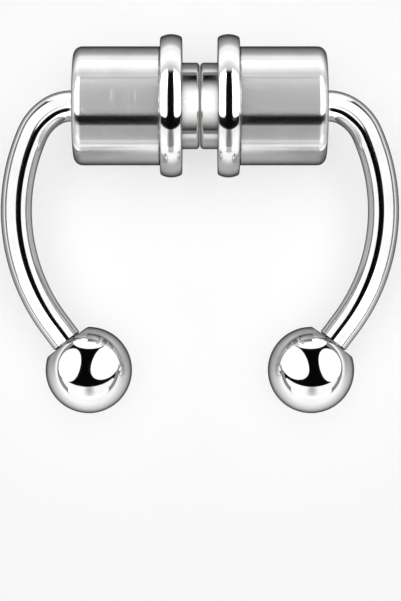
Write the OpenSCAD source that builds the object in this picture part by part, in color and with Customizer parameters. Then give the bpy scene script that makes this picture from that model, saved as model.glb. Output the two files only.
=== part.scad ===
// Magnetic clip-on horseshoe barbell, in millimetres.
// Two turned steel cups hold disc magnets that meet in the middle. From the far end of each cup
// a bent bar leads round to a screwed-on ball. The part lies on its side, on its rims and balls.

/* [Cups] */
// Outer diameter of a cup's barrel
cup_d = 4.4; // [4:0.1:5]
// Length of a cup, from the face of its rim to the crown of its end
cup_l = 4.1; // [3.6:0.1:5]
// Height of the slight dome on a cup's end
end_dome = 0.1; // [0.06:0.01:0.2]
// Rounding between a cup's barrel and its end
end_round = 0.34; // [0.2:0.02:0.5]
// Outer diameter of the rim
rim_d = 5.3; // [5.1:0.1:6]
// Thickness of the rim
rim_t = 0.82; // [0.7:0.02:1]
// Radius of the crowned edge of the rim, seen in section
rim_crown = 0.8; // [0.7:0.05:2]
// Rounding at the corners of the rim
rim_round = 0.12; // [0.06:0.02:0.2]

/* [Magnets] */
// Diameter of a disc magnet
magnet_d = 3.2; // [2.8:0.1:3.6]
// Thickness of a disc magnet
magnet_t = 2; // [1.6:0.1:2.4]
// How far a magnet stands out of its cup
magnet_stand = 0.64; // [0.4:0.02:0.9]
// Rounding of a magnet's edges
magnet_round = 0.14; // [0.06:0.02:0.24]
// Gap between the two magnets, left by the slight crown of their plating
magnet_gap = 0.02; // [0.01:0.01:0.1]
// Clearance round and behind a magnet in its pocket
magnet_play = 0.03; // [0.02:0.01:0.06]

/* [Bars] */
// Diameter of a bar
bar_d = 1.15; // [1.05:0.05:1.3]
// How deep a bar sits in the end of its cup
bar_seat = 1; // [0.6:0.1:1.4]
// Clearance round and behind a bar in its socket
bar_play = 0.02; // [0.01:0.01:0.04]
// Radius of the tight first bend, next to the cup, along the bar's middle
tight_bend_r = 1.4; // [1:0.05:2]
// Angle of the tight first bend
tight_bend_angle = 33; // [25:0.5:40]
// Radius of the easier second bend
easy_bend_r = 1.85; // [1.2:0.05:3]
// Angle of the easier second bend
easy_bend_angle = 33; // [25:0.5:40]
// Radius of the long bend that makes most of the horseshoe
long_bend_r = 7; // [6:0.1:8]
// Angle of the long bend
long_bend_angle = 61; // [50:0.5:70]
// Length of a bar's straight end, next to its ball
bar_straight = 0.8; // [0.4:0.1:1.5]
// Diameter of the screw on the end of a bar
screw_d = 1; // [0.7:0.05:1]
// Length of the screw
screw_l = 1.3; // [1:0.1:1.6]
// Clearance round the screw in its ball, and at the bar's shoulder
screw_play = 0.02; // [0.01:0.01:0.05]

/* [Balls] */
// Diameter of a ball
ball_d = 3.2; // [2.8:0.1:3.6]
// Diameter of the flat on a ball, where its bar enters
ball_flat_d = 1.86; // [1.6:0.05:2.2]
// Depth of the drilled hole beyond the end of the screw
ball_drill = 0.15; // [0.1:0.05:0.3]

/* [Hidden] */
$fn = 96;

// The bends of a bar, from its cup to its straight end. Each row is [radius, angle].
BEND_RADIUS = 0;
BEND_ANGLE = 1;
bends = [[tight_bend_r, tight_bend_angle],
         [easy_bend_r, easy_bend_angle],
         [long_bend_r, long_bend_angle]];

// Number of straight steps in each arc of a cup's section
arc_steps = 8;
// How far a cutting shape reaches past the face that it starts from
cut = 1;
// How much wider than the bar the beads are that bridge the joints of its route
bead = 0.002;

// Where each piece of a half begins or ends along the magnets' axis, from the middle out
magnet_x = magnet_gap / 2;
rim_x = magnet_x + magnet_stand;
end_x = rim_x + cup_l;
bar_x = end_x - bar_seat;

// A bar's route in the plane of the horseshoe. A heading of 0 points out along the magnets'
// axis, and a growing heading turns towards the balls.
function ahead(heading) = [cos(heading), -sin(heading)];
function inward(heading) = [-sin(heading), -cos(heading)];
function bend_heading(i) = i == 0 ? 0 : bend_heading(i - 1) + bends[i - 1][BEND_ANGLE];
function bend_start(i) = i == 0 ? [end_x, 0]
    : bend_start(i - 1)
      + bends[i - 1][BEND_RADIUS] * (inward(bend_heading(i - 1)) - inward(bend_heading(i)));

bar_heading = bend_heading(len(bends));
bar_tip = bend_start(len(bends)) + bar_straight * ahead(bar_heading);

// A ball's flat lies one clearance beyond the shoulder of its bar.
flat_depth = sqrt(pow(ball_d / 2, 2) - pow(ball_flat_d / 2, 2));
ball_centre = bar_tip + (screw_play + flat_depth) * ahead(bar_heading);

// The horseshoe leans until its rims and its balls all stand on the floor, which is z = 0.
reach = -ball_centre[1];
lean = asin((rim_d - ball_d) / 2 / reach);
axis_y = (reach * cos(lean) + ball_d / 2 - rim_d / 2) / 2;
axis_z = rim_d / 2;

// Puts what is drawn in the plane of the horseshoe down where it rests.
module at_rest() {
    translate([0, axis_y, axis_z])
        rotate([lean, 0, 0])
            children();
}

// Each piece is drawn for the right half, and the left half is its mirror image.
module right_side() {
    at_rest()
        children();
}

module left_side() {
    at_rest()
        mirror([1, 0, 0])
            children();
}

// Turns a section of [radius, distance] about the magnets' axis, from x outwards.
module turned(x) {
    translate([x, 0, 0])
        rotate([0, 90, 0])
            rotate_extrude()
                children();
}

// Puts a shape's origin on the magnets' axis at x, with its z axis pointing outwards.
module on_axis(x) {
    translate([x, 0, 0])
        rotate([0, 90, 0])
            children();
}

// Puts a shape's origin at a point of the route, with its z axis along a heading.
module on_route(point, heading) {
    translate([point[0], point[1], 0])
        rotate([0, 90, -heading])
            children();
}

// Points of an arc in a section. It leaves out its last point, where the next stretch begins.
function arc(centre, radius, from, to) =
    [for (i = [0 : arc_steps - 1])
        let (angle = from + (to - from) * i / arc_steps)
            centre + radius * [cos(angle), sin(angle)]];

// Section of a cup, from the middle of its open face. It goes round the crowned edge of the rim
// between two rounded corners, along the barrel, and round a corner to the slightly domed end.
module cup_section() {
    half = rim_t / 2;
    crown = [rim_d / 2 - rim_crown, half];
    corner_r = crown[0] + sqrt(pow(rim_crown - rim_round, 2) - pow(half - rim_round, 2));
    spread = asin((half - rim_round) / (rim_crown - rim_round));
    side = cup_d / 2;
    dome_r = (pow(side, 2) + pow(end_dome, 2)) / (2 * end_dome);
    dome = [0, cup_l - dome_r];
    slope = asin((side - end_round) / (dome_r - end_round));
    corner_y = dome[1] + (dome_r - end_round) * cos(slope);
    polygon(concat(
        [[0, 0]],
        arc([corner_r, rim_round], rim_round, -90, -spread),
        arc(crown, rim_crown, -spread, spread),
        arc([corner_r, rim_t - rim_round], rim_round, spread, 90),
        [[corner_r, rim_t], [side, rim_t]],
        arc([side - end_round, corner_y], end_round, 0, 90 - slope),
        arc(dome, dome_r, 90 - slope, 90),
        [[0, cup_l]]));
}

// A cup: barrel and rim in one turned piece, with a pocket for the magnet and a socket for the bar.
module cup() {
    pocket = magnet_t - magnet_stand + magnet_play;
    color("silver")
        difference() {
            turned(rim_x)
                cup_section();
            on_axis(rim_x - cut)
                cylinder(d = magnet_d + 2 * magnet_play, h = cut + pocket);
            on_axis(bar_x - bar_play)
                cylinder(d = bar_d + 2 * bar_play, h = bar_seat + cut);
        }
}

// A disc magnet with rounded edges.
module magnet() {
    side = magnet_d / 2;
    color("gainsboro")
        turned(magnet_x) {
            translate([0, magnet_round])
                square([side, magnet_t - 2 * magnet_round]);
            square([side - magnet_round, magnet_t]);
            for (y = [magnet_round, magnet_t - magnet_round])
                translate([side - magnet_round, y])
                    circle(r = magnet_round);
        }
}

// A bar: a straight seat in the cup, the bends, a straight end and the screw on its tip.
// The beads make one solid of pieces that would otherwise only meet face to face.
module bar() {
    color("lightgray") {
        on_axis(bar_x)
            cylinder(d = bar_d, h = bar_seat);
        for (i = [0 : len(bends) - 1]) {
            radius = bends[i][BEND_RADIUS];
            centre = bend_start(i) + radius * inward(bend_heading(i));
            translate([centre[0], centre[1], 0])
                rotate(90 - bend_heading(i + 1))
                    rotate_extrude(angle = bends[i][BEND_ANGLE])
                        translate([radius, 0])
                            circle(d = bar_d);
        }
        on_route(bend_start(len(bends)), bar_heading)
            cylinder(d = bar_d, h = bar_straight);
        for (i = [0 : len(bends)])
            on_route(bend_start(i), bend_heading(i))
                sphere(d = bar_d + bead);
        on_route(bar_tip, bar_heading)
            cylinder(d = screw_d, h = screw_play + screw_l);
    }
}

// A ball with a flat and a drilled hole, where the screw of its bar enters.
module ball() {
    hole = screw_l + ball_drill;
    color("silver")
        on_route(ball_centre, bar_heading)
            difference() {
                sphere(d = ball_d);
                translate([-ball_d, -ball_d, -flat_depth - ball_d])
                    cube([2 * ball_d, 2 * ball_d, ball_d]);
                translate([0, 0, -flat_depth - cut])
                    cylinder(d = screw_d + 2 * screw_play, h = cut + hole);
            }
}

left_side() cup();  // left_cup
left_side() magnet();  // left_magnet
left_side() bar();  // left_bar
left_side() ball();  // left_ball
right_side() cup();  // right_cup
right_side() magnet();  // right_magnet
right_side() bar();  // right_bar
right_side() ball();  // right_ball
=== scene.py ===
from math import asin, cos, degrees, pi, radians, sin, sqrt, tan

import bmesh
import bpy
from mathutils import Matrix, Vector


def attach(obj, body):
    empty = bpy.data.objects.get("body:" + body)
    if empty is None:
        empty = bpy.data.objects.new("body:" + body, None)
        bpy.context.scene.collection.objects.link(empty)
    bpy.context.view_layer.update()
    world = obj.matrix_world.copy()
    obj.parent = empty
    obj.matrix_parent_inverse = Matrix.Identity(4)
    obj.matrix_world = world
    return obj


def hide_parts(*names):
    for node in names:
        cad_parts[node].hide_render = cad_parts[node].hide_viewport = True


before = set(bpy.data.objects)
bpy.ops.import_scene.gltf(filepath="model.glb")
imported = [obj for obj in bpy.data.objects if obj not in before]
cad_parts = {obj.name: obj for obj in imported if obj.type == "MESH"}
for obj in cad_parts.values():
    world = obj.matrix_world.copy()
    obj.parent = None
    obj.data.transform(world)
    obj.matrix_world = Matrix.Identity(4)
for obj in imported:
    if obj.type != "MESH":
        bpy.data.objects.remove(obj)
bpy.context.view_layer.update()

# Sizes in millimetres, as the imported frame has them
MM = 0.001

CUP_R = 2.2
CUP_LENGTH = 4.1
END_DOME = 0.1
END_ROUND = 0.34
RIM_R = 2.65
RIM_THICK = 0.82
RIM_CROWN = 0.8
RIM_ROUND = 0.12

MAGNET_R = 1.6
MAGNET_THICK = 2.0
MAGNET_STAND = 0.64
MAGNET_ROUND = 0.14
MAGNET_GAP = 0.02
MAGNET_PLAY = 0.03

BAR_R = 0.575
BAR_SEAT = 1.0
BAR_PLAY = 0.02
# Each bend, from the cup to the ball: radius, angle in degrees, steps
BENDS = ((1.4, 33.0, 12), (1.85, 33.0, 14), (7.0, 61.0, 56))
BAR_STRAIGHT = 0.8

SCREW_R = 0.5
SCREW_LENGTH = 1.3
SCREW_PLAY = 0.02

BALL_R = 1.6
BALL_FLAT_R = 0.93
BALL_DRILL = 0.15
BORE_R = SCREW_R + SCREW_PLAY
BORE_DEPTH = SCREW_LENGTH + BALL_DRILL

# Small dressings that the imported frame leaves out. On a cup: the edges of the magnet's pocket, the
# root of the rim, and the mouth of the bar's socket.
POCKET_CHAMFER = 0.05
POCKET_ROUND = 0.08
ROOT_ROUND = 0.04
MOUTH_WIDER = 0.03
MOUTH_DEPTH = 0.05
# On a magnet: the widths of its crowned face's rings, from the edge inwards, and how each rises
CROWN_RINGS = (0.06, 0.3, 0.45, 0.4)
CROWN_RISE = 0.0015
# On a bar: its shoulder, and the thread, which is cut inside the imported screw
BAR_CHAMFER = 0.05
CREST_R = 0.495
ROOT_R = 0.375
PITCH = 0.25
HALF_GROOVE = 0.035
CREST_FLAT = 0.03
THREAD_TURNS = 7
THREAD_STEPS = 48
# The screw's smooth neck and its nose. A taper is how wide the end is beside the cut behind it.
NECK_LENGTH = 0.16
NECK_SUNK = 0.04
NECK_TAPER = 0.86
NOSE_LENGTH = 0.09
NOSE_TAPER = 0.78
# On a ball: the edge of its flat, and the mouth and the end of its drilled hole
FLAT_ROUND = 0.035
COUNTERSINK = 0.07
DRILL_POINT = 0.3
DRILL_POINT_R = 0.02

# How finely the pieces are made: steps round, the width of the thin loops that hold an edge, how
# close vertices are merged, how close to a cut or a flat a vertex counts as on it, and the angle in
# degrees up to which faces are smoothed together
TURNED_STEPS = 128
LOOP = 0.012
MERGED_WITHIN = 0.0004
CUT_WITHIN = 0.00001
FLAT_WITHIN = 0.0001
SMOOTH_UP_TO = 33

# Where each piece of a half begins or ends along the magnets' axis
MAGNET_X = MAGNET_GAP / 2
RIM_X = MAGNET_X + MAGNET_STAND
END_X = RIM_X + CUP_LENGTH
BAR_X = END_X - BAR_SEAT


# A bar's route in the plane of the horseshoe
def ahead(heading):
    """The way a bar runs at a heading, where 0 points out along the magnets' axis."""
    return Vector((cos(radians(heading)), -sin(radians(heading)), 0))


def inward(heading):
    """The way towards the middle of a bend."""
    return Vector((-sin(radians(heading)), -cos(radians(heading)), 0))


bend_starts = [Vector((END_X, 0, 0))]
bend_middles = []
bar_heading = 0.0
for bend_r, bend_angle, _ in BENDS:
    bend_middles.append(bend_starts[-1] + bend_r * inward(bar_heading))
    bar_heading += bend_angle
    bend_starts.append(bend_middles[-1] - bend_r * inward(bar_heading))
BAR_TIP = bend_starts[-1] + BAR_STRAIGHT * ahead(bar_heading)
FLAT_DEPTH = sqrt(BALL_R ** 2 - BALL_FLAT_R ** 2)
BALL_MIDDLE = BAR_TIP + (SCREW_PLAY + FLAT_DEPTH) * ahead(bar_heading)

# How the horseshoe lies: on its rims and its balls. Pieces are shaped in millimetres in the plane of
# the horseshoe, and laid down to their place at the end.
REACH = -BALL_MIDDLE.y
LEAN = asin((RIM_R - BALL_R) / REACH)
AXIS_Y = (REACH * cos(LEAN) + BALL_R - RIM_R) / 2
AS_IT_LIES = (
    Matrix.Translation((0, AXIS_Y * MM, RIM_R * MM))
    @ Matrix.Rotation(LEAN, 4, "X")
    @ Matrix.Scale(MM, 4)
)


# Handling pieces on the bench
def put_down_all():
    """Leaves nothing selected."""
    bpy.ops.object.select_all(action="DESELECT")


def take(piece):
    """Makes one piece the active and only selected one."""
    put_down_all()
    piece.select_set(True)
    bpy.context.view_layer.objects.active = piece


def fix_place():
    """Writes the selected piece's place, turn and scale into its mesh."""
    bpy.ops.object.transform_apply(location=True, rotation=True, scale=True)


def start_editing(name):
    """Names the new primitive, fixes its place and opens it in edit mode."""
    piece = bpy.context.object
    piece.name = piece.data.name = name
    fix_place()
    bpy.ops.object.mode_set(mode="EDIT")
    return piece


def pick(kind, test):
    """In edit mode, selects the vertices, edges or faces that pass a test."""
    bpy.ops.mesh.select_mode(type=kind)
    bpy.ops.mesh.select_all(action="DESELECT")
    mesh = bmesh.from_edit_mesh(bpy.context.object.data)
    for part in {"VERT": mesh.verts, "EDGE": mesh.edges, "FACE": mesh.faces}[kind]:
        if test(part):
            part.select_set(True)
    mesh.select_flush_mode()
    bmesh.update_edit_mesh(bpy.context.object.data)


def grow(direction):
    """Extrudes what is selected."""
    bpy.ops.mesh.extrude_region_move(TRANSFORM_OT_translate={"value": tuple(direction)})


def selected_points():
    """In edit mode, where the selected vertices are."""
    mesh = bmesh.from_edit_mesh(bpy.context.object.data)
    return [vertex.co.copy() for vertex in mesh.verts if vertex.select]


def centre_of_selected():
    """In edit mode, the middle of the selected vertices."""
    points = selected_points()
    return sum(points, Vector()) / len(points)


def close_up(piece):
    """Merges doubles, points all the faces outwards and leaves edit mode."""
    bpy.ops.mesh.select_mode(type="VERT")
    bpy.ops.mesh.select_all(action="SELECT")
    bpy.ops.mesh.remove_doubles(threshold=MERGED_WITHIN)
    bpy.ops.mesh.normals_make_consistent(inside=False)
    bpy.ops.object.mode_set(mode="OBJECT")
    return piece


def bow(middle, radius, start, stop, steps=10):
    """Points (x, r) of an arc in a turned section, from one angle to another in degrees."""
    points = []
    for i in range(steps + 1):
        a = radians(start + (stop - start) * i / steps)
        points.append((middle[0] + radius * sin(a), middle[1] + radius * cos(a)))
    return points


def turn(name, section):
    """Draws a section point by point and turns it about the magnets' axis, as on a lathe."""
    points = [Vector((x, r, 0)) for x, r in section]
    bpy.ops.mesh.primitive_plane_add(size=0.1, location=points[0])
    piece = start_editing(name)
    bpy.ops.mesh.merge(type="CENTER")
    for here, there in zip(points, points[1:]):
        grow(there - here)
    bpy.ops.mesh.select_all(action="SELECT")
    bpy.ops.mesh.spin(
        steps=TURNED_STEPS, angle=2 * pi, center=(0, 0, 0), axis=(1, 0, 0), use_auto_merge=True
    )
    return close_up(piece)


def cup_section():
    """Section of a cup, from the bottom of the magnet's pocket round to that of the bar's socket."""
    pocket_r = MAGNET_R + MAGNET_PLAY
    pocket_x = RIM_X + MAGNET_THICK - MAGNET_STAND + MAGNET_PLAY
    half = RIM_THICK / 2
    crown_r = RIM_R - RIM_CROWN
    inner_crown = RIM_CROWN - RIM_ROUND
    corner_r = crown_r + sqrt(inner_crown ** 2 - (half - RIM_ROUND) ** 2)
    spread = degrees(asin((half - RIM_ROUND) / inner_crown))
    back_x = RIM_X + RIM_THICK
    dome_r = (CUP_R ** 2 + END_DOME ** 2) / (2 * END_DOME)
    dome_x = END_X - dome_r
    slope = degrees(asin((CUP_R - END_ROUND) / (dome_r - END_ROUND)))
    corner_x = dome_x + (dome_r - END_ROUND) * cos(radians(slope))
    socket_r = BAR_R + BAR_PLAY
    mouth_r = socket_r + MOUTH_WIDER
    mouth_angle = 90 - degrees(asin(mouth_r / dome_r))
    socket_x = BAR_X - BAR_PLAY
    # Degrees that keep the dome's first point clear of the corner's last
    past_corner = 0.03
    points = [(pocket_x, 0), (pocket_x, pocket_r - 1.25 * POCKET_ROUND)]
    points += bow((pocket_x - POCKET_ROUND, pocket_r - POCKET_ROUND), POCKET_ROUND, 90, 0, 4)
    points += [(RIM_X + POCKET_CHAMFER + LOOP, pocket_r), (RIM_X + POCKET_CHAMFER, pocket_r)]
    points += [(RIM_X, pocket_r + POCKET_CHAMFER), (RIM_X, pocket_r + POCKET_CHAMFER + LOOP)]
    points += [(RIM_X, corner_r - LOOP)]
    points += bow((RIM_X + RIM_ROUND, corner_r), RIM_ROUND, -90, -spread, 8)
    points += bow((RIM_X + half, crown_r), RIM_CROWN, -spread, spread, 16)[1:]
    points += bow((back_x - RIM_ROUND, corner_r), RIM_ROUND, spread, 90, 8)[1:]
    points += [(back_x, corner_r - LOOP), (back_x, CUP_R + ROOT_ROUND + LOOP)]
    points += bow((back_x + ROOT_ROUND, CUP_R + ROOT_ROUND), ROOT_ROUND, -90, -180, 5)
    points += [(back_x + ROOT_ROUND + LOOP, CUP_R), (corner_x - LOOP, CUP_R)]
    points += bow((corner_x, CUP_R - END_ROUND), END_ROUND, 0, 90 - slope, 14)
    points += bow((dome_x, 0), dome_r, 90 - slope + past_corner, mouth_angle, 8)
    points += [(END_X - MOUTH_DEPTH, socket_r), (END_X - MOUTH_DEPTH - LOOP, socket_r)]
    points += [(socket_x, socket_r), (socket_x, 0)]
    return points


def make_cup(name):
    """A cup: barrel and rim in one turned piece."""
    return turn(name, cup_section())


def make_magnet(name):
    """A disc with rounded edges, whose plated face stands very slightly proud in the middle."""
    far = MAGNET_X + MAGNET_THICK
    bpy.ops.mesh.primitive_cylinder_add(
        vertices=TURNED_STEPS,
        radius=MAGNET_R,
        depth=MAGNET_THICK,
        location=(MAGNET_X + MAGNET_THICK / 2, 0, 0),
        rotation=(0, pi / 2, 0),
    )
    piece = start_editing(name)
    pick("EDGE", lambda e: abs(e.verts[0].co.x - e.verts[1].co.x) < 0.001)
    bpy.ops.mesh.bevel(offset=MAGNET_ROUND, segments=8, profile=0.5, affect="EDGES")
    for x in (MAGNET_X + MAGNET_ROUND + LOOP, far - MAGNET_ROUND - LOOP):
        bpy.ops.mesh.select_all(action="SELECT")
        bpy.ops.mesh.bisect(plane_co=(x, 0, 0), plane_no=(1, 0, 0), threshold=0.0001)
    for x, out in ((MAGNET_X, -1), (far, 1)):
        pick("FACE", lambda f: abs(f.normal.x) > 0.99 and abs(f.calc_center_median().x - x) < 0.001)
        bpy.ops.mesh.inset(thickness=LOOP, depth=0)
        for reach in CROWN_RINGS:
            bpy.ops.mesh.inset(thickness=reach, depth=0)
            bpy.ops.transform.translate(value=(out * CROWN_RISE, 0, 0))
    return close_up(piece)


def make_bar(name):
    """A round bar: its seat in the cup, three bends and a straight end with a chamfered shoulder."""
    bpy.ops.mesh.primitive_circle_add(
        vertices=64,
        radius=BAR_R,
        fill_type="NGON",
        location=(BAR_X, 0, 0),
        rotation=(0, pi / 2, 0),
    )
    piece = start_editing(name)
    bpy.ops.mesh.select_mode(type="FACE")
    bpy.ops.mesh.select_all(action="SELECT")
    grow((BAR_SEAT, 0, 0))
    for (_, angle, steps), middle in zip(BENDS, bend_middles):
        bpy.ops.mesh.spin(steps=steps, angle=radians(angle), center=middle, axis=(0, 0, 1))
    grow((BAR_STRAIGHT - BAR_CHAMFER - LOOP) * ahead(bar_heading))
    grow(LOOP * ahead(bar_heading))
    grow(BAR_CHAMFER * ahead(bar_heading))
    shrink = (BAR_R - BAR_CHAMFER) / BAR_R
    bpy.ops.transform.resize(value=(shrink,) * 3, center_override=BAR_TIP)
    bpy.ops.mesh.inset(thickness=LOOP, depth=0)
    close_up(piece)
    screw = make_screw(name + "_screw")
    take(screw)
    piece.select_set(True)
    bpy.context.view_layer.objects.active = piece
    bpy.ops.object.join()
    return piece


def make_screw(name):
    """The thread on a bar's tip: one tooth swept up a helix, cut off at both ends, with a neck
    at the shoulder and a chamfered nose."""
    flank = (PITCH - CREST_FLAT) / 2 - HALF_GROOVE
    tooth = (
        (ROOT_R, 0),
        (ROOT_R, HALF_GROOVE),
        (CREST_R, HALF_GROOVE + flank),
        (CREST_R, HALF_GROOVE + flank + CREST_FLAT),
        (ROOT_R, PITCH - HALF_GROOVE),
        (ROOT_R, PITCH),
    )
    points = [Vector((r, 0, z - PITCH)) for r, z in tooth]
    bpy.ops.mesh.primitive_plane_add(size=0.1, location=points[0])
    piece = start_editing(name)
    bpy.ops.mesh.merge(type="CENTER")
    for here, there in zip(points, points[1:]):
        grow(there - here)
    bpy.ops.object.mode_set(mode="OBJECT")
    helix = piece.modifiers.new("helix", "SCREW")
    helix.axis = "Z"
    helix.angle = 2 * pi
    helix.screw_offset = PITCH
    helix.iterations = THREAD_TURNS
    helix.steps = THREAD_STEPS
    helix.render_steps = THREAD_STEPS
    helix.use_merge_vertices = True
    helix.merge_threshold = MERGED_WITHIN
    helix.use_smooth_shade = False
    bpy.ops.object.modifier_apply(modifier=helix.name)
    bpy.ops.object.mode_set(mode="EDIT")
    length = SCREW_PLAY + SCREW_LENGTH
    ends = ((NECK_LENGTH, -NECK_SUNK, NECK_TAPER), (length - NOSE_LENGTH, length, NOSE_TAPER))
    for cut_z, end_z, taper in ends:
        bpy.ops.mesh.select_all(action="SELECT")
        bpy.ops.mesh.bisect(
            plane_co=(0, 0, cut_z),
            plane_no=(0, 0, 1),
            use_fill=True,
            clear_inner=end_z < cut_z,
            clear_outer=end_z > cut_z,
            threshold=CUT_WITHIN,
        )
        bpy.ops.mesh.select_mode(type="FACE")
        grow((0, 0, end_z - cut_z))
        bpy.ops.transform.resize(value=(taper, taper, 1), center_override=(0, 0, end_z))
    close_up(piece)
    turned_along = ahead(bar_heading).to_track_quat("Z", "Y").to_matrix().to_4x4()
    piece.matrix_world = Matrix.Translation(BAR_TIP) @ turned_along
    take(piece)
    fix_place()
    return piece


def make_ball(name):
    """A ball, cut flat where its bar enters, with a countersunk and drilled hole."""
    along = ahead(bar_heading)
    flat = BALL_MIDDLE - FLAT_DEPTH * along
    bpy.ops.mesh.primitive_uv_sphere_add(
        segments=TURNED_STEPS,
        ring_count=TURNED_STEPS // 2,
        radius=BALL_R,
        location=BALL_MIDDLE,
        rotation=along.to_track_quat("Z", "Y").to_euler(),
    )
    piece = start_editing(name)
    bpy.ops.mesh.select_all(action="SELECT")
    bpy.ops.mesh.bisect(
        plane_co=flat, plane_no=along, use_fill=True, clear_inner=True, threshold=CUT_WITHIN
    )

    def on_flat(vertex):
        return abs((vertex.co - flat).dot(along)) < FLAT_WITHIN

    pick("EDGE", lambda e: on_flat(e.verts[0]) and on_flat(e.verts[1]))
    bpy.ops.mesh.bevel(offset=FLAT_ROUND, segments=3, profile=0.5, affect="EDGES")
    pick("FACE", lambda f: f.normal.dot(along) < -0.999 and all(on_flat(v) for v in f.verts))
    bpy.ops.mesh.inset(thickness=LOOP, depth=0)
    rim = max((point - flat).length for point in selected_points())
    mouth = BORE_R + COUNTERSINK
    bpy.ops.mesh.inset(thickness=rim - mouth, depth=0)
    depths = (COUNTERSINK, BORE_DEPTH - COUNTERSINK, DRILL_POINT)
    for step, radius in zip(depths, (BORE_R, BORE_R, DRILL_POINT_R)):
        before = max((point - centre_of_selected()).length for point in selected_points())
        grow(step * along)
        shrink = radius / before
        bpy.ops.transform.resize(value=(shrink,) * 3, center_override=centre_of_selected())
    return close_up(piece)


def lay_down(piece):
    """Brings a piece from the bench to where it lies, and smooths it between its sharp edges."""
    take(piece)
    piece.matrix_world = AS_IT_LIES
    fix_place()
    bpy.ops.object.shade_smooth_by_angle(angle=radians(SMOOTH_UP_TO))


def mirrored(piece, name):
    """A copy of a right-hand piece for the left half, with its own mesh."""
    take(piece)
    bpy.ops.object.duplicate(linked=False)
    twin = bpy.context.object
    twin.name = twin.data.name = name
    twin.scale.x = -1
    fix_place()
    bpy.ops.object.mode_set(mode="EDIT")
    close_up(twin)
    return twin


# Finishes

# How much each effect does where it is full. Haze is darker, recesses are darker with painted shade,
# and scratches, rubbed corners and recesses are rougher. Depths are in metres.
HAZE_DARKENS = 0.12
MARKS_ROUGHEN = 0.1
RUBBED_ROUGHENS = 0.04
DULL_ROUGHENS = 0.25
SCRATCH_DEPTH = 1.2e-7
RING_DEPTH = 4e-7
WAVE_DEPTH = 4e-6

# Each way that scratches run: how it is turned, and how fine the noise is across it. Along a scratch
# it is coarser by the slimness.
SCRATCH_WAYS = (((0.4, 0.9, 0.2), 9000), ((1.3, 0.2, 1.1), 7000), ((2.1, 1.6, 0.5), 11000))
SCRATCH_SLIMNESS = 0.04

# How sharply a surface turns where a corner starts to be rubbed, in radians to a millimetre, and how
# much more it takes until it is fully rubbed
CORNER_FROM = 1.6
CORNER_RANGE = 5.0

# The colours that the painted shade in recesses goes towards, on steel and on nickel
STEEL_RECESS_SHADE = (0.30, 0.30, 0.31)
NICKEL_RECESS_SHADE = (0.28, 0.27, 0.25)


def group(name, inputs, outputs):
    """An empty node group with named inputs and outputs."""
    tree = bpy.data.node_groups.new(name, "ShaderNodeTree")
    for label, kind, value in inputs:
        socket = tree.interface.new_socket(name=label, in_out="INPUT", socket_type=kind)
        if value is not None:
            socket.default_value = value
    for label, kind in outputs:
        tree.interface.new_socket(name=label, in_out="OUTPUT", socket_type=kind)
    return tree, tree.nodes.new("NodeGroupInput"), tree.nodes.new("NodeGroupOutput")


def node(tree, kind, **settings):
    """A new node with its settings."""
    made = tree.nodes.new(kind)
    for key, value in settings.items():
        setattr(made, key, value)
    return made


def calculate(tree, operation, first, second=None, third=None):
    """A Math node's result. Each operand is a number or an output socket."""
    made = node(tree, "ShaderNodeMath", operation=operation)
    for socket, operand in zip(made.inputs, (first, second, third)):
        if operand is None:
            continue
        if isinstance(operand, (int, float)):
            socket.default_value = operand
        else:
            tree.links.new(operand, socket)
    return made.outputs[0]


def between(tree, value, low, high, to_low=0.0, to_high=1.0):
    """Maps a value smoothly from one range to another, and no further."""
    made = node(tree, "ShaderNodeMapRange", interpolation_type="SMOOTHSTEP", clamp=True)
    tree.links.new(value, made.inputs["Value"])
    made.inputs["From Min"].default_value = low
    made.inputs["From Max"].default_value = high
    made.inputs["To Min"].default_value = to_low
    made.inputs["To Max"].default_value = to_high
    return made.outputs["Result"]


def handling_marks():
    """Hair-fine scratches in three directions. Each layer is noise drawn out along one way."""
    tree, given, out = group(
        "handling marks",
        [("Place", "NodeSocketVector", None), ("Fineness", "NodeSocketFloat", 1.0)],
        [("Marks", "NodeSocketFloat"), ("Height", "NodeSocketFloat")],
    )
    layers = []
    for turned, fineness in SCRATCH_WAYS:
        laid = node(tree, "ShaderNodeMapping")
        laid.inputs["Rotation"].default_value = turned
        laid.inputs["Scale"].default_value = (fineness, fineness * SCRATCH_SLIMNESS, fineness)
        tree.links.new(given.outputs["Place"], laid.inputs["Vector"])
        streak = node(tree, "ShaderNodeTexNoise")
        streak.inputs["Detail"].default_value = 2.0
        tree.links.new(laid.outputs["Vector"], streak.inputs["Vector"])
        tree.links.new(given.outputs["Fineness"], streak.inputs["Scale"])
        layers.append(between(tree, streak.outputs["Fac"], 0.66, 0.74))
    most = calculate(tree, "MAXIMUM", calculate(tree, "MAXIMUM", layers[0], layers[1]), layers[2])
    tree.links.new(most, out.inputs["Marks"])
    tree.links.new(calculate(tree, "MULTIPLY", most, -1.0), out.inputs["Height"])
    return tree


def polish_haze():
    """Slow, cloudy change in how bright the polish is."""
    tree, given, out = group(
        "polish haze",
        [("Place", "NodeSocketVector", None), ("Size per metre", "NodeSocketFloat", 900.0)],
        [("Haze", "NodeSocketFloat"), ("Wave", "NodeSocketFloat")],
    )
    cloud = node(tree, "ShaderNodeTexNoise")
    cloud.inputs["Detail"].default_value = 4.0
    cloud.inputs["Roughness"].default_value = 0.6
    tree.links.new(given.outputs["Place"], cloud.inputs["Vector"])
    tree.links.new(given.outputs["Size per metre"], cloud.inputs["Scale"])
    tree.links.new(between(tree, cloud.outputs["Fac"], 0.35, 0.7), out.inputs["Haze"])
    tree.links.new(cloud.outputs["Fac"], out.inputs["Wave"])
    return tree


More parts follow.
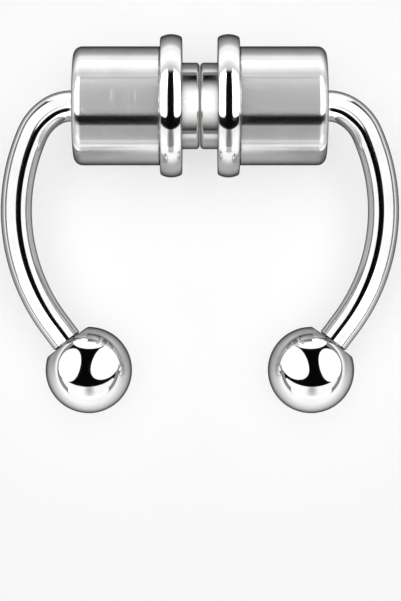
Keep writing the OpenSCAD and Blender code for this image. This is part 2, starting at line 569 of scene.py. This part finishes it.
def turning_lines():
    """The lathe's fine rings: noise that changes only along the magnets' axis."""
    tree, given, out = group(
        "turning lines",
        [("Place", "NodeSocketVector", None), ("Lines per metre", "NodeSocketFloat", 30000.0)],
        [("Rings", "NodeSocketFloat")],
    )
    parts = node(tree, "ShaderNodeSeparateXYZ")
    tree.links.new(given.outputs["Place"], parts.inputs["Vector"])
    along = calculate(tree, "MULTIPLY", parts.outputs["X"], given.outputs["Lines per metre"])
    rings = node(tree, "ShaderNodeTexNoise", noise_dimensions="1D")
    rings.inputs["Scale"].default_value = 1.0
    rings.inputs["Detail"].default_value = 3.0
    tree.links.new(along, rings.inputs["W"])
    tree.links.new(rings.outputs["Fac"], out.inputs["Rings"])
    return tree


def edge_wear_and_recess_shade():
    """Where corners are rubbed bright, and where recesses are rougher and get painted shade, broken
    up by noise.
    """
    tree, given, out = group(
        "recess_shade_and_edge_wear",
        [
            ("Place", "NodeSocketVector", None),
            ("Corner", "NodeSocketFloat", 0.0),
            ("Recess", "NodeSocketFloat", 0.0),
        ],
        [("Rubbed", "NodeSocketFloat"), ("Recess shade and roughness", "NodeSocketFloat")],
    )
    grain = node(tree, "ShaderNodeTexNoise")
    grain.inputs["Scale"].default_value = 5000.0
    grain.inputs["Detail"].default_value = 3.0
    tree.links.new(given.outputs["Place"], grain.inputs["Vector"])
    broken = between(tree, grain.outputs["Fac"], 0.35, 0.62)
    tree.links.new(calculate(tree, "MULTIPLY", given.outputs["Corner"], broken), out.inputs["Rubbed"])
    # The recess mask both roughens and carries the painted shade that darkens the colour in hollows
    tree.links.new(
        calculate(tree, "MULTIPLY", given.outputs["Recess"], calculate(tree, "ADD", broken, 0.4)),
        out.inputs["Recess shade and roughness"],
    )
    return tree


shared = {
    "marks": handling_marks(),
    "haze": polish_haze(),
    "rings": turning_lines(),
    "wear_and_shade": edge_wear_and_recess_shade(),
}


def finish_metal(name, colour, roughness, haze, scratches, edge_tint, recess_shade_colour=STEEL_RECESS_SHADE,
                 lines=0.0, peel=0.0, anisotropy=0.0):
    """A polished metal: haze and rubbed corners vary its roughness, scratches, lathe rings and
    plating waves tilt its normal, and recesses are darkened with painted shade."""
    made = bpy.data.materials.new(name)
    made.use_nodes = True
    tree = made.node_tree
    shader = tree.nodes["Principled BSDF"]
    shader.inputs["Metallic"].default_value = 1.0
    shader.inputs["Specular Tint"].default_value = (edge_tint, edge_tint, edge_tint, 1)
    place = node(tree, "ShaderNodeTexCoord").outputs["Object"]
    used = {}
    for key, inner in shared.items():
        used[key] = node(tree, "ShaderNodeGroup", node_tree=inner)
        tree.links.new(place, used[key].inputs["Place"])
    for label, attribute in (("Corner", "corner"), ("Recess", "recess")):
        read = node(tree, "ShaderNodeAttribute", attribute_name=attribute)
        tree.links.new(read.outputs["Fac"], used["wear_and_shade"].inputs[label])
    # The colour goes darker with the haze, and towards the recess shade colour where painted shade
    # lies in recesses
    tint = node(tree, "ShaderNodeMix", data_type="RGBA")
    tint.inputs["A"].default_value = (*colour, 1)
    tint.inputs["B"].default_value = (*recess_shade_colour, 1)
    cloudy = used["haze"].outputs["Haze"]
    recess_shade_and_roughness = used["wear_and_shade"].outputs["Recess shade and roughness"]
    shade = calculate(tree, "MULTIPLY_ADD", cloudy, HAZE_DARKENS, recess_shade_and_roughness)
    tree.links.new(calculate(tree, "MINIMUM", shade, 1.0), tint.inputs["Factor"])
    tree.links.new(tint.outputs["Result"], shader.inputs["Base Color"])
    rough = roughness
    for mask, amount in (
        (cloudy, haze),
        (used["marks"].outputs["Marks"], scratches * MARKS_ROUGHEN),
        (used["wear_and_shade"].outputs["Rubbed"], RUBBED_ROUGHENS),
        (recess_shade_and_roughness, DULL_ROUGHENS),
    ):
        rough = calculate(tree, "MULTIPLY_ADD", mask, amount, rough)
    tree.links.new(rough, shader.inputs["Roughness"])
    bumps = (
        (used["marks"].outputs["Height"], scratches * SCRATCH_DEPTH),
        (used["rings"].outputs["Rings"], lines * RING_DEPTH),
        (used["haze"].outputs["Wave"], peel * WAVE_DEPTH),
    )
    normal = None
    for height, depth in bumps:
        if depth == 0:
            continue
        bump = node(tree, "ShaderNodeBump")
        bump.inputs["Distance"].default_value = depth
        tree.links.new(height, bump.inputs["Height"])
        if normal is not None:
            tree.links.new(normal, bump.inputs["Normal"])
        normal = bump.outputs["Normal"]
    if normal is not None:
        tree.links.new(normal, shader.inputs["Normal"])
    if anisotropy:
        shader.inputs["Anisotropic"].default_value = anisotropy
        shader.inputs["Anisotropic Rotation"].default_value = 0.25
        round_axis = node(tree, "ShaderNodeTangent", direction_type="RADIAL", axis="X")
        tree.links.new(round_axis.outputs["Tangent"], shader.inputs["Tangent"])
    return made


def mark_corners(piece):
    """Writes how sharply the surface turns at each vertex: outwards is a corner, inwards a recess."""
    mesh = bmesh.new()
    mesh.from_mesh(piece.data)
    mesh.normal_update()
    corner = [0.0] * len(mesh.verts)
    recess = [0.0] * len(mesh.verts)
    for edge in mesh.edges:
        if len(edge.link_faces) != 2:
            continue
        one, two = edge.link_faces
        turn_angle = one.normal.angle(two.normal, 0.0)
        apart = (one.calc_center_median() - two.calc_center_median()).length
        sharpness = turn_angle / max(apart, 1e-6) * MM
        amount = min(max((sharpness - CORNER_FROM) / CORNER_RANGE, 0.0), 1.0)
        marks = corner if edge.is_convex else recess
        for vertex in edge.verts:
            marks[vertex.index] = max(marks[vertex.index], amount)
    mesh.free()
    for name, values in (("corner", corner), ("recess", recess)):
        layer = piece.data.attributes.new(name, "FLOAT", "POINT")
        layer.data.foreach_set("value", values)


def buff_rim(cup):
    """Gives the rim end of a cup, as far as the rim's back, the rim's finish."""
    cup.data.materials.append(finishes["rim"])
    rim_back = (RIM_X + RIM_THICK + 0.001) * MM
    for face in cup.data.polygons:
        if abs(face.center.x) < rim_back:
            face.material_index = 1


# The pieces: the right half is made, and the left half is its mirror image
put_down_all()
right = {
    "cup": make_cup("right_cup_turned"),
    "magnet": make_magnet("right_magnet_plated"),
    "bar": make_bar("right_bar_bent"),
    "ball": make_ball("right_ball_drilled"),
}
left = {
    "cup": mirrored(right["cup"], "left_cup_turned"),
    "magnet": mirrored(right["magnet"], "left_magnet_plated"),
    "bar": mirrored(right["bar"], "left_bar_bent"),
    "ball": mirrored(right["ball"], "left_ball_drilled"),
}

finishes = {
    "cup": finish_metal(
        "turned_cup_steel", (0.84, 0.842, 0.846), roughness=0.19, haze=0.005, scratches=0.3,
        edge_tint=0.1, lines=0.12, anisotropy=1.0,
    ),
    "rim": finish_metal(
        "buffed_rim_steel", (0.86, 0.862, 0.866), roughness=0.07, haze=0.02, scratches=0.4,
        edge_tint=0.1, lines=0.1,
    ),
    "magnet": finish_metal(
        "plated_magnet_nickel", (0.66, 0.657, 0.65), roughness=0.15, haze=0.02, scratches=0.5,
        edge_tint=0.2, recess_shade_colour=NICKEL_RECESS_SHADE, lines=0.3, peel=0.1, anisotropy=1.0,
    ),
    "bar": finish_metal(
        "polished_bar_steel", (0.87, 0.872, 0.876), roughness=0.06, haze=0.02, scratches=0.4,
        edge_tint=0.05,
    ),
    "ball": finish_metal(
        "polished_ball_steel", (0.88, 0.882, 0.886), roughness=0.045, haze=0.015, scratches=0.4,
        edge_tint=0.05,
    ),
}
bodies = {
    ("left", "cup"): "left_half",
    ("left", "magnet"): "left_half",
    ("left", "bar"): "left_half",
    ("left", "ball"): "left_ball",
    ("right", "cup"): "right_half",
    ("right", "magnet"): "right_magnet",
    ("right", "bar"): "right_half",
    ("right", "ball"): "right_ball",
}
for side, pieces in (("left", left), ("right", right)):
    for kind, piece in pieces.items():
        lay_down(piece)
        mark_corners(piece)
        piece.data.materials.clear()
        piece.data.materials.append(finishes[kind])
        if kind == "cup":
            buff_rim(piece)
        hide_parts(f"{side}_{kind}")
        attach(piece, bodies[side, kind])
put_down_all()

# Camera: it looks along the normal of the horseshoe's plane
LENS = 150.0
SENSOR = 36.0
PIXELS_PER_MM = 27.0
FRAME_WIDE, FRAME_HIGH = 401, 601
# Where the magnets' axis crosses the middle between the halves, in pixels across and down
AXIS_ACROSS, AXIS_DOWN = 199.9, 105.95

TOWARDS_CAMERA = Vector((0, -sin(LEAN), cos(LEAN)))
PICTURE_UP = Vector((0, cos(LEAN), sin(LEAN)))
PICTURE_RIGHT = Vector((1, 0, 0))


def stand_at(place, across, up, back):
    """Where something stands in the studio, with the ways that its own x, y and z axes run."""
    return Matrix.Translation(place) @ Matrix((across, up, back)).transposed().to_4x4()


def put_in_studio(name, data):
    """A new object for a camera or a lamp."""
    holder = bpy.data.objects.new(name, data)
    bpy.context.scene.collection.objects.link(holder)
    return holder


def set_up_camera():
    """Puts the camera where a millimetre in the horseshoe's plane covers PIXELS_PER_MM."""
    distance = FRAME_HIGH * LENS / (SENSOR * PIXELS_PER_MM) * MM
    right_of_axis = (FRAME_WIDE / 2 - AXIS_ACROSS) / PIXELS_PER_MM
    above_axis = (AXIS_DOWN - FRAME_HIGH / 2) / PIXELS_PER_MM
    aim = AS_IT_LIES @ Vector((right_of_axis, above_axis, 0))
    data = bpy.data.cameras.new("camera")
    data.lens = LENS
    data.sensor_width = SENSOR
    data.clip_start = 0.001
    data.clip_end = 10
    camera = put_in_studio("camera", data)
    place = aim + TOWARDS_CAMERA * distance
    camera.matrix_world = stand_at(place, PICTURE_RIGHT, PICTURE_UP, TOWARDS_CAMERA)
    bpy.context.scene.camera = camera


set_up_camera()

# Floor: a wide pale sweep that turns up at its edge

# The radius of its flat middle in metres, and each ring beyond: how far it rises in metres, and how
# many times wider it gets
FLOOR_R = 0.30
FLOOR_RINGS = ((0, 1.4), (0.02, 1.08), (0.065, 1.0))
# How far out the metal mirrors none of its glow
FLOOR_DARK_R = 0.40
# What the camera sees of the floor's glow, and the most that the metal mirrors of it
GLOW_SEEN = 0.56
GLOW_MIRRORED = 0.77
# The mirrored glow is least on a ring under the horseshoe, and comes back this far from it. In
# front of the horseshoe it comes back sooner.
SHADE_RING_R = 9 * MM
SHADE_REACH = 24 * MM
SHADE_SHORTER_IN_FRONT = 1.6


def make_floor():
    """The sweep, widened ring by ring from a flat disc."""
    bpy.ops.mesh.primitive_circle_add(vertices=96, radius=FLOOR_R, fill_type="NGON")
    sweep = start_editing("floor")
    pick("EDGE", lambda e: True)
    for rise, wider in FLOOR_RINGS:
        bpy.ops.mesh.extrude_edges_move(TRANSFORM_OT_translate={"value": (0, 0, rise)})
        bpy.ops.transform.resize(value=(wider, wider, 1), center_override=(0, 0, 0))
    bpy.ops.object.mode_set(mode="OBJECT")
    bpy.ops.object.shade_smooth()
    sweep.data.materials.append(finish_floor())
    put_down_all()
    return sweep


def finish_floor():
    """A pale sheet that glows like a light table. What the metal mirrors of it is dimmer near the
    horseshoe, where the object keeps the light off, and dark at its far edge."""
    made = bpy.data.materials.new("pale_sweep")
    made.use_nodes = True
    tree = made.node_tree
    sheet = tree.nodes["Principled BSDF"]
    sheet.inputs["Base Color"].default_value = (0.86, 0.86, 0.86, 1)
    sheet.inputs["Roughness"].default_value = 0.9
    sheet.inputs["Specular IOR Level"].default_value = 0.0
    sheet.inputs["Emission Color"].default_value = (1, 1, 1, 1)
    spot = node(tree, "ShaderNodeTexCoord").outputs["Object"]
    length = node(tree, "ShaderNodeVectorMath", operation="LENGTH")
    tree.links.new(spot, length.inputs[0])
    from_middle = length.outputs["Value"]
    parts = node(tree, "ShaderNodeSeparateXYZ")
    tree.links.new(spot, parts.inputs["Vector"])
    from_ring = calculate(tree, "ABSOLUTE", calculate(tree, "SUBTRACT", from_middle, SHADE_RING_R))
    in_front = calculate(tree, "MULTIPLY", parts.outputs["Y"], -SHADE_SHORTER_IN_FRONT)
    clear_of_shade = calculate(tree, "MAXIMUM", from_ring, in_front)
    near_glow = between(tree, clear_of_shade, 0.0, SHADE_REACH, 0.0, GLOW_MIRRORED)
    far_share = between(tree, from_middle, FLOOR_R, FLOOR_DARK_R, 1.0, 0.0)
    glow = node(tree, "ShaderNodeMix", data_type="FLOAT")
    by_camera = node(tree, "ShaderNodeLightPath").outputs["Is Camera Ray"]
    tree.links.new(by_camera, glow.inputs["Factor"])
    tree.links.new(calculate(tree, "MULTIPLY", near_glow, far_share), glow.inputs["A"])
    glow.inputs["B"].default_value = GLOW_SEEN
    tree.links.new(glow.outputs["Result"], sheet.inputs["Emission Strength"])
    return made


floor = make_floor()


# Lights: softboxes, placed by the way they lie from the object as the camera sees it
class Softbox:
    """A softbox whose face looks at the object. facing is the angles to it from the camera's
    line, across and up. sides and ends are the angles from there to its left and right sides and
    its low and high ends, and roll is how far it is turned on its stand, all in degrees. glow is
    how bright its face is, squareness how full its corners are (2 is an oval), and soft how far
    its edge fades. lights_up lists what it lights, and away is how far off it stands in metres."""

    def __init__(self, name, facing, sides, ends, glow, lights_up, squareness, soft=0.05,
                 roll=0.0, away=0.32):
        across, up = (radians(angle) for angle in facing)
        level = cos(across) * PICTURE_RIGHT - sin(across) * TOWARDS_CAMERA
        forward = cos(across) * TOWARDS_CAMERA + sin(across) * PICTURE_RIGHT
        outward = cos(up) * forward + sin(up) * PICTURE_UP
        upright = outward.cross(level)
        side = cos(radians(roll)) * level + sin(radians(roll)) * upright
        rise = outward.cross(side)
        self.reach = {
            "X": [tan(radians(angle)) for angle in sides],
            "Y": [tan(radians(angle)) for angle in ends],
        }
        x = [away * edge for edge in self.reach["X"]]
        y = [away * edge for edge in self.reach["Y"]]
        wide = x[1] - x[0]
        tall = y[1] - y[0]
        lamp = bpy.data.lights.new(name, "AREA")
        lamp.shape = "RECTANGLE"
        lamp.size = wide
        lamp.size_y = tall
        lamp.energy = glow * pi * wide * tall
        lamp.use_nodes = True
        self.tree = lamp.node_tree
        self.face = node(self.tree, "ShaderNodeSeparateXYZ")
        spot = node(self.tree, "ShaderNodeTexCoord").outputs["UV"]
        self.tree.links.new(spot, self.face.inputs["Vector"])
        out = self.out_from((0.5, 0.5), (0.5, 0.5), squareness)
        self.lit = between(self.tree, out, 1.0 - soft, 1.0, 1.0, 0.0)
        self.tree.links.new(self.lit, self.tree.nodes["Emission"].inputs["Strength"])
        holder = put_in_studio(name, lamp)
        place = outward * away + side * (x[0] + x[1]) / 2 + rise * (y[0] + y[1]) / 2
        holder.matrix_world = stand_at(place, side, rise, outward)
        holder.visible_camera = False
        only_lights(holder, lights_up)

    def out_from(self, middle, half, squareness):
        """How far out a spot of the face is from an oval's middle, where 1 is the oval's edge. The
        middle and the half sizes are shares of the face's width and height."""
        powers = []
        for axis, centre, reach in zip("XY", middle, half):
            off = calculate(self.tree, "SUBTRACT", self.face.outputs[axis], centre)
            off = calculate(self.tree, "ABSOLUTE", off)
            off = calculate(self.tree, "DIVIDE", off, reach)
            powers.append(calculate(self.tree, "POWER", off, squareness))
        return calculate(self.tree, "POWER", calculate(self.tree, "ADD", *powers), 1 / squareness)

    def share(self, axis, angle):
        """Where an angle from the lamp's facing lies on its face, as a share of its size."""
        start, end = self.reach[axis]
        return (tan(radians(angle)) - start) / (end - start)

    def dim_by(self, mask):
        """Multiplies the face's brightness by a mask."""
        self.lit = calculate(self.tree, "MULTIPLY", self.lit, mask)
        self.tree.links.new(self.lit, self.tree.nodes["Emission"].inputs["Strength"])

    def dim_oval(self, middle, half, inside, soft, squareness=2.0):
        """Dims an oval part of the face. middle and half are its angles across and up in degrees,
        from the lamp's facing. inside is how bright it stays, and soft how softly it ends."""
        centres, halves = [], []
        for axis, centre, reach in zip("XY", middle, half):
            start, end = self.share(axis, centre - reach), self.share(axis, centre + reach)
            centres.append((start + end) / 2)
            halves.append((end - start) / 2)
        out = self.out_from(centres, halves, squareness)
        self.dim_by(between(self.tree, out, 1.0 - soft, 1.0 + soft, inside, 1.0))

    def fade(self, full, least, level=0.0):
        """Fades the face up or down, from full brightness at one angle from its facing to a lower
        level at another, and on from there."""
        at = [self.share("Y", full), self.share("Y", least)]
        shares = [1.0, level]
        if at[0] > at[1]:
            at.reverse()
            shares.reverse()
        self.dim_by(between(self.tree, self.face.outputs["Y"], *at, *shares))


def only_lights(lamp, pieces):
    """Keeps a lamp's light off everything but some pieces."""
    caught = bpy.data.collections.new("lit_by_" + lamp.name)
    for piece in pieces:
        caught.objects.link(piece)
    lamp.light_linking.receiver_collection = caught


def light_cups():
    """Two front panels with a dark slot between them, and cards above and below."""
    cups = [left["cup"], right["cup"]]
    for side, sides in (("left", (-72, -17)), ("right", (17, 72))):
        panel = Softbox(
            side + "_panel", facing=(0, 0), sides=sides, ends=(-23.5, 60), glow=2.9,
            lights_up=cups, squareness=12.0, soft=0.03,
        )
        panel.fade(full=54, least=60)
        panel.dim_oval(middle=(0, -25), half=(30, 7), inside=0.0, soft=0.05)
        panel.dim_oval(middle=(0, 54), half=(25, 7), inside=0.0, soft=0.05)
    top = Softbox(
        "top_cup_softbox", facing=(0, 76), sides=(-52, 52), ends=(-25, 20), glow=1.3,
        lights_up=cups, squareness=12.0,
    )
    top.fade(full=7, least=-20, level=0.52)
    top.fade(full=-19, least=-25)
    low = Softbox(
        "low_cup_softbox", facing=(0, -62), sides=(-58, 58), ends=(-22, 21), glow=1.4,
        lights_up=cups, squareness=12.0,
    )
    low.fade(full=-22, least=21, level=0.72)
    low.dim_oval(middle=(0, -2), half=(14, 32), inside=0.2, soft=0.5, squareness=4.0)


def light_magnets():
    """A high and a low softbox, each fading outwards from where they meet."""
    magnets = [left["magnet"], right["magnet"]]
    high = Softbox(
        "high_magnet_softbox", facing=(0, 45), sides=(-60, 60), ends=(-38, 41), glow=1.7,
        lights_up=magnets, squareness=12.0,
    )
    high.fade(full=-19, least=29)
    low = Softbox(
        "low_magnet_softbox", facing=(0, -35), sides=(-60, 60), ends=(-38, 44), glow=1.7,
        lights_up=magnets, squareness=12.0,
    )
    low.fade(full=26, least=-38)


def light_bars_and_balls():
    """Softboxes above and below for all four, two ovals beside each ball, and a ring round a disc
    for each bar, whose dark gap makes the bar's black line."""
    bars_and_balls = [left["bar"], right["bar"], left["ball"], right["ball"]]
    Softbox(
        "top_softbox", facing=(0, 90), sides=(-31.5, 31.5), ends=(-31.5, 31.5), glow=1.3,
        lights_up=bars_and_balls, squareness=2.0,
    )
    low = Softbox(
        "low_softbox", facing=(0, -64), sides=(-68, 68), ends=(-20, 20), glow=1.15,
        lights_up=bars_and_balls, squareness=10.0,
    )
    low.dim_oval(middle=(2, 10), half=(9, 16), inside=0.45, soft=0.95)
    for sign, side, pieces in ((-1, "left", left), (1, "right", right)):
        Softbox(
            side + "_outer_oval", facing=(53.5 * sign, 13), sides=(-33, 33), ends=(-40.5, 40.5),
            glow=1.3, lights_up=[pieces["ball"]], squareness=2.0,
        )
        Softbox(
            side + "_inner_oval", facing=(-50 * sign, 17), sides=(-50, 50), ends=(-34.5, 34.5),
            glow=1.3, lights_up=[pieces["ball"]], squareness=2.0, roll=-40.0 * sign,
        )
        ring = Softbox(
            side + "_bar_ring", facing=(0, 0), sides=(-75, 75), ends=(-68, 68), glow=1.16,
            lights_up=[pieces["bar"]], squareness=10.0, away=0.2,
        )
        ring.dim_oval(middle=(-17 * sign, -14), half=(21, 32), inside=0.0, soft=0.02, squareness=4.0)
        Softbox(
            side + "_bar_disc", facing=(3.5 * sign, -8.5), sides=(-15.5, 15.5), ends=(-9, 9),
            glow=1.16, lights_up=[pieces["bar"]], squareness=2.0, away=0.2,
        )


def light_floor():
    """A round lamp straight above the floor, which the object doesn't catch."""
    radius = 0.3
    glow = 0.9
    data = bpy.data.lights.new("floor_lamp", "AREA")
    data.shape = "DISK"
    data.size = 2 * radius
    data.energy = glow * pi * pi * radius ** 2
    lamp = put_in_studio("floor_lamp", data)
    lamp.location = (0, 0, 0.32)
    lamp.visible_camera = False
    only_lights(lamp, [floor])


def light_room():
    """The little light that comes from all round."""
    world = bpy.data.worlds.new("studio")
    world.use_nodes = True
    world.node_tree.nodes["Background"].inputs["Color"].default_value = (1, 1, 1, 1)
    world.node_tree.nodes["Background"].inputs["Strength"].default_value = 0.002
    bpy.context.scene.world = world


light_cups()
light_magnets()
light_bars_and_balls()
light_floor()
light_room()

scene = bpy.context.scene
scene.view_settings.view_transform = "Standard"
scene.view_settings.look = "None"
scene.cycles.max_bounces = 8
scene.cycles.glossy_bounces = 6
scene.cycles.use_denoising = True
